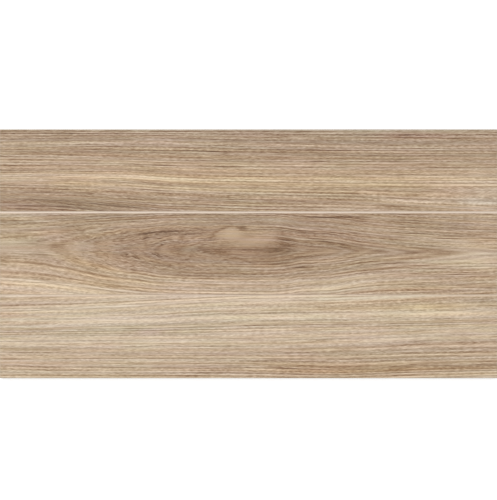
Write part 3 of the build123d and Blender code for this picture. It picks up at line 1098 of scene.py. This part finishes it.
def fired_back(colours):
    """The back as the press and the kiln leave it: dull body, with white wash on the ribs."""
    material, tree, shader = new_material("Fired back")
    place = place_node(tree, "ShaderNodeTexCoord").outputs["Object"]
    cloud = noise(tree, place, 28.0, detail=5.0, roughness=0.65)
    grit = noise(tree, place, 1300.0, detail=3.0)
    shade = added_up(tree, 0.74, (cloud, 0.16), (grit, 0.22))
    body = scaled(tree, tuple(colours.body), shade)
    # The wash lies only on what touches the rollers, in patches, and thinner between the grit
    height = maths(tree, "DIVIDE", vector_parts(tree, place)["Z"], WASH_HEIGHT)
    low = maths(tree, "SUBTRACT", 1.0, height, clamp=True)
    patchy = added_up(tree, -1.1, (cloud, 3.2), clamp=True)
    wash = maths(tree, "MULTIPLY", low, patchy)
    wash = maths(tree, "MULTIPLY", wash, maths(tree, "ADD", grit, 0.25), clamp=True)
    washed = covered(tree, body, colours.kiln_wash, wash)
    shader.inputs["Specular IOR Level"].default_value = 0.3
    dress_shader(tree, shader, washed, 0.85, grit, strength=0.5, distance=0.1)
    return material


class FLOORTILE_OT_make_tile(Operator):
    """Make the tile: its printed face, ground sides and pressed back"""

    bl_idname = "floortile.make_tile"
    bl_label = "Make tile"

    def execute(self, context):
        colours = context.scene.floor_tile_colours
        mesh = make_mesh(context.scene.floor_tile_sizes)
        for finish in (printed_glaze, ground_porcelain, fired_back):
            mesh.materials.append(finish(colours))
        tile = bpy.data.objects.new("tile_body", mesh)
        context.scene.collection.objects.link(tile)
        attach(tile, BODY)
        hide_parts(NODE)
        return {"FINISHED"}


class FLOORTILE_OT_make_stage(Operator):
    """Make the pale floor, the soft light and the camera that looks straight down"""

    bl_idname = "floortile.make_stage"
    bl_label = "Make stage"

    def execute(self, context):
        scene = context.scene
        add_floor(scene)
        add_light(scene)
        add_camera(scene)
        scene.view_settings.view_transform = "Standard"
        return {"FINISHED"}


def seen_directly(tree):
    """One for what the camera sees, mirrored or through glass too, and nought for light on things."""
    path = place_node(tree, "ShaderNodeLightPath")
    seen = maths(tree, "MAXIMUM", path.outputs["Is Camera Ray"], path.outputs["Is Glossy Ray"])
    return maths(tree, "MAXIMUM", seen, path.outputs["Is Transmission Ray"])


def add_floor(scene):
    """A wide pale floor, which shows white to the camera and keeps the tile's shadow."""
    low = TILE_LOW.z
    corners = [(x * FLOOR_REACH, y * FLOOR_REACH, low) for x, y in ((-1, -1), (1, -1), (1, 1), (-1, 1))]
    mesh = bpy.data.meshes.new("floor")
    mesh.from_pydata(corners, [], [(0, 1, 2, 3)])
    floor = bpy.data.objects.new("floor", mesh)
    scene.collection.objects.link(floor)
    material = bpy.data.materials.new("Pale floor")
    material.use_nodes = True
    tree = material.node_tree
    tree.nodes.clear()
    matt = place_node(tree, "ShaderNodeBsdfDiffuse", {"Color": (*scene.floor_tile_colours.floor, 1.0)})
    strength = maths(tree, "MULTIPLY", seen_directly(tree), FLOOR_LIFT)
    lift = place_node(tree, "ShaderNodeEmission", {"Color": (1.0, 1.0, 1.0, 1.0), "Strength": strength})
    both = place_node(tree, "ShaderNodeAddShader", {0: matt.outputs[0], 1: lift.outputs[0]})
    place_node(tree, "ShaderNodeOutputMaterial", {"Surface": both.outputs[0]})
    mesh.materials.append(material)


def add_light(scene):
    """Even light from all round, and one large soft lamp up on the far left."""
    world = bpy.data.worlds.new("Studio")
    world.use_nodes = True
    tree = world.node_tree
    background = tree.nodes["Background"]
    background.inputs["Color"].default_value = (1.0, 1.0, 1.0, 1.0)
    level = maths(tree, "MAXIMUM", seen_directly(tree), scene.floor_tile_stage.sky_level)
    tree.links.new(level, background.inputs["Strength"])
    scene.world = world
    lamp = bpy.data.lights.new("Soft lamp", "AREA")
    lamp.shape = "RECTANGLE"
    lamp.size, lamp.size_y = LAMP_SIZE
    lamp.energy = scene.floor_tile_stage.lamp_power
    holder = bpy.data.objects.new("Soft lamp", lamp)
    scene.collection.objects.link(holder)
    holder.location = LAMP_PLACE
    holder.rotation_euler = (-holder.location).to_track_quat("-Z", "Y").to_euler()


def add_camera(scene):
    """A camera straight above the tile, whose length fills the picture from side to side."""
    picture_wide, picture_high = PICTURE
    camera = bpy.data.cameras.new("Camera")
    camera.lens = scene.floor_tile_stage.lens
    camera.clip_end = 20
    holder = bpy.data.objects.new("Camera", camera)
    scene.collection.objects.link(holder)
    seen_wide = TILE_SIZE.x - 2 * scene.floor_tile_sizes.face_arris
    seen_high = seen_wide * picture_high / picture_wide
    distance = seen_high * camera.lens / camera.sensor_width
    holder.location = (0, scene.floor_tile_stage.camera_shift_y, TILE_HIGH.z + distance)
    scene.camera = holder


class FLOORTILE_PT_panel(Panel):
    """Lists the tile's sizes, colours and pieces in the sidebar"""

    bl_label = "Floor tile"
    bl_space_type = "VIEW_3D"
    bl_region_type = "UI"
    bl_category = "Floor tile"

    def draw(self, context):
        for setting in GROUPS:
            group = getattr(context.scene, setting)
            box = self.layout.box()
            for name in group.bl_rna.properties.keys():
                if name not in ("rna_type", "name"):
                    box.prop(group, name)
        for operator in OPERATORS:
            self.layout.operator(operator.bl_idname)


GROUPS = {
    "floor_tile_sizes": FloorTileSizes,
    "floor_tile_colours": FloorTileColours,
    "floor_tile_stage": FloorTileStage,
}
OPERATORS = (FLOORTILE_OT_make_tile, FLOORTILE_OT_make_stage)


def register():
    """Registers the classes and gives the scene its settings."""
    for owner in (*GROUPS.values(), *OPERATORS, FLOORTILE_PT_panel):
        bpy.utils.register_class(owner)
    for name, group in GROUPS.items():
        setattr(bpy.types.Scene, name, PointerProperty(type=group))


def unregister():
    """Takes the settings and the classes away again."""
    for name in GROUPS:
        delattr(bpy.types.Scene, name)
    for owner in (FLOORTILE_PT_panel, *reversed(OPERATORS), *reversed(GROUPS.values())):
        bpy.utils.unregister_class(owner)


def main():
    """Makes the tile and its stage."""
    register()
    bpy.ops.floortile.make_tile()
    bpy.ops.floortile.make_stage()


if __name__ == "__main__":
    main()
